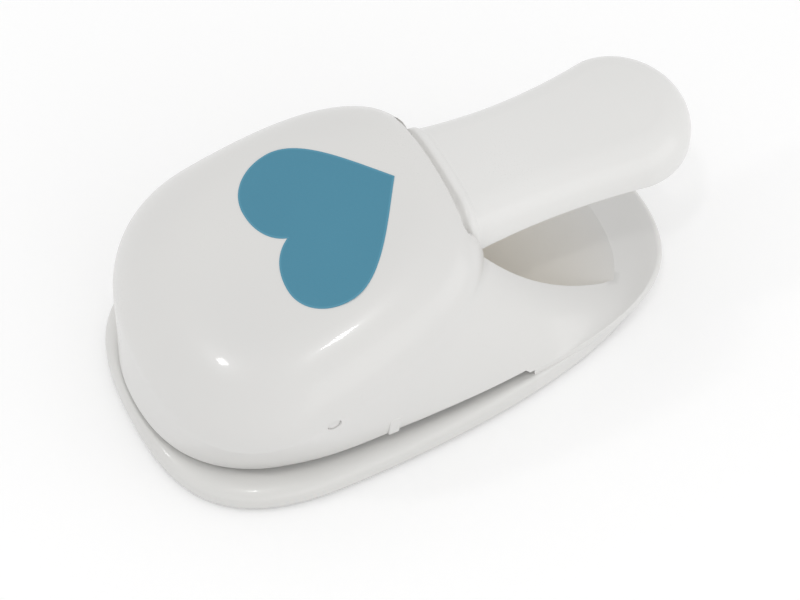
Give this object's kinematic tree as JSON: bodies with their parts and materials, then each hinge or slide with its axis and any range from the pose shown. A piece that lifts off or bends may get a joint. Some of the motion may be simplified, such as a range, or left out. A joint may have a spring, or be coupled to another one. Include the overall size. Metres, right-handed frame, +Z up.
{
  "type": "heart craft punch",
  "caption": "White desk punch with a heart-shaped cutter, a paper slot along its jaw and a long palm lever over a scooped tail.",
  "frame": {"origin": "middle of the footprint at the height of the rubber feet's undersides", "axes": "+Z up, +X to the right seen from the front, +Y from the jaw towards the lever's end"},
  "size_m": [0.09, 0.165, 0.0643],
  "materials": {
    "casing_plastic": "glossy moulded white, faintly cool",
    "jaw_plastic": "glossy moulded white, faintly warm",
    "inner_plastic": "matte grey moulded plastic",
    "teal_print": "flat teal printed film",
    "hardened_steel": "ground tool steel",
    "plain_steel": "zinc plated sheet and screws",
    "foot_rubber": "matte grey rubber"
  },
  "bodies": {
    "housing": {"head_cover": "casing_plastic", "jaw_shell": "jaw_plastic", "base_plate": "inner_plastic", "die_plate": "plain_steel", "guide_plate": "plain_steel", "slot_spacer": "plain_steel", "fulcrum_pin": "hardened_steel", "heart_decal": "teal_print", "plate_rivet_left": "plain_steel", "guide_post_left": "plain_steel", "return_spring_left": "plain_steel", "fulcrum_cheek_left": "plain_steel", "pin_cap_left": "casing_plastic", "front_base_screw_left": "plain_steel", "rear_base_screw_left": "plain_steel", "front_foot_left": "foot_rubber", "rear_foot_left": "foot_rubber", "front_guide_screw_left": "plain_steel", "rear_guide_screw_left": "plain_steel", "plate_rivet_right": "plain_steel", "guide_post_right": "plain_steel", "return_spring_right": "plain_steel", "fulcrum_cheek_right": "plain_steel", "pin_cap_right": "casing_plastic", "front_base_screw_right": "plain_steel", "rear_base_screw_right": "plain_steel", "front_foot_right": "foot_rubber", "rear_foot_right": "foot_rubber", "front_guide_screw_right": "plain_steel", "rear_guide_screw_right": "plain_steel"},
    "lever": {"lever_grip": "casing_plastic", "lever_liner": "casing_plastic", "lever_arm": "plain_steel", "press_roller": "hardened_steel", "roller_pin": "hardened_steel", "front_grip_screw": "plain_steel", "rear_grip_screw": "plain_steel"},
    "punch": {"heart_punch": "hardened_steel", "punch_holder": "inner_plastic", "punch_screw_left": "plain_steel", "punch_screw_right": "plain_steel"}
  },
  "joints": [
    {"name": "press_lever", "type": "hinge", "parent": "housing", "child": "lever", "pos_m": [0, -0.0425, 0.0325], "axis": [-1, 0, 0], "range_deg": [0, 12], "stiffness_Nm_per_rad": 1.4, "springref_deg": -8.59},
    {"name": "punch_slide", "type": "slide", "parent": "housing", "child": "punch", "axis": [0, 0, -1], "range_m": [0, 0.0038], "deforming": ["return_spring_left", "return_spring_right"]}
  ],
  "couplings": [
    {"joint": "punch_slide", "follows": "press_lever", "m_per_rad": 0.018144}
  ]
}
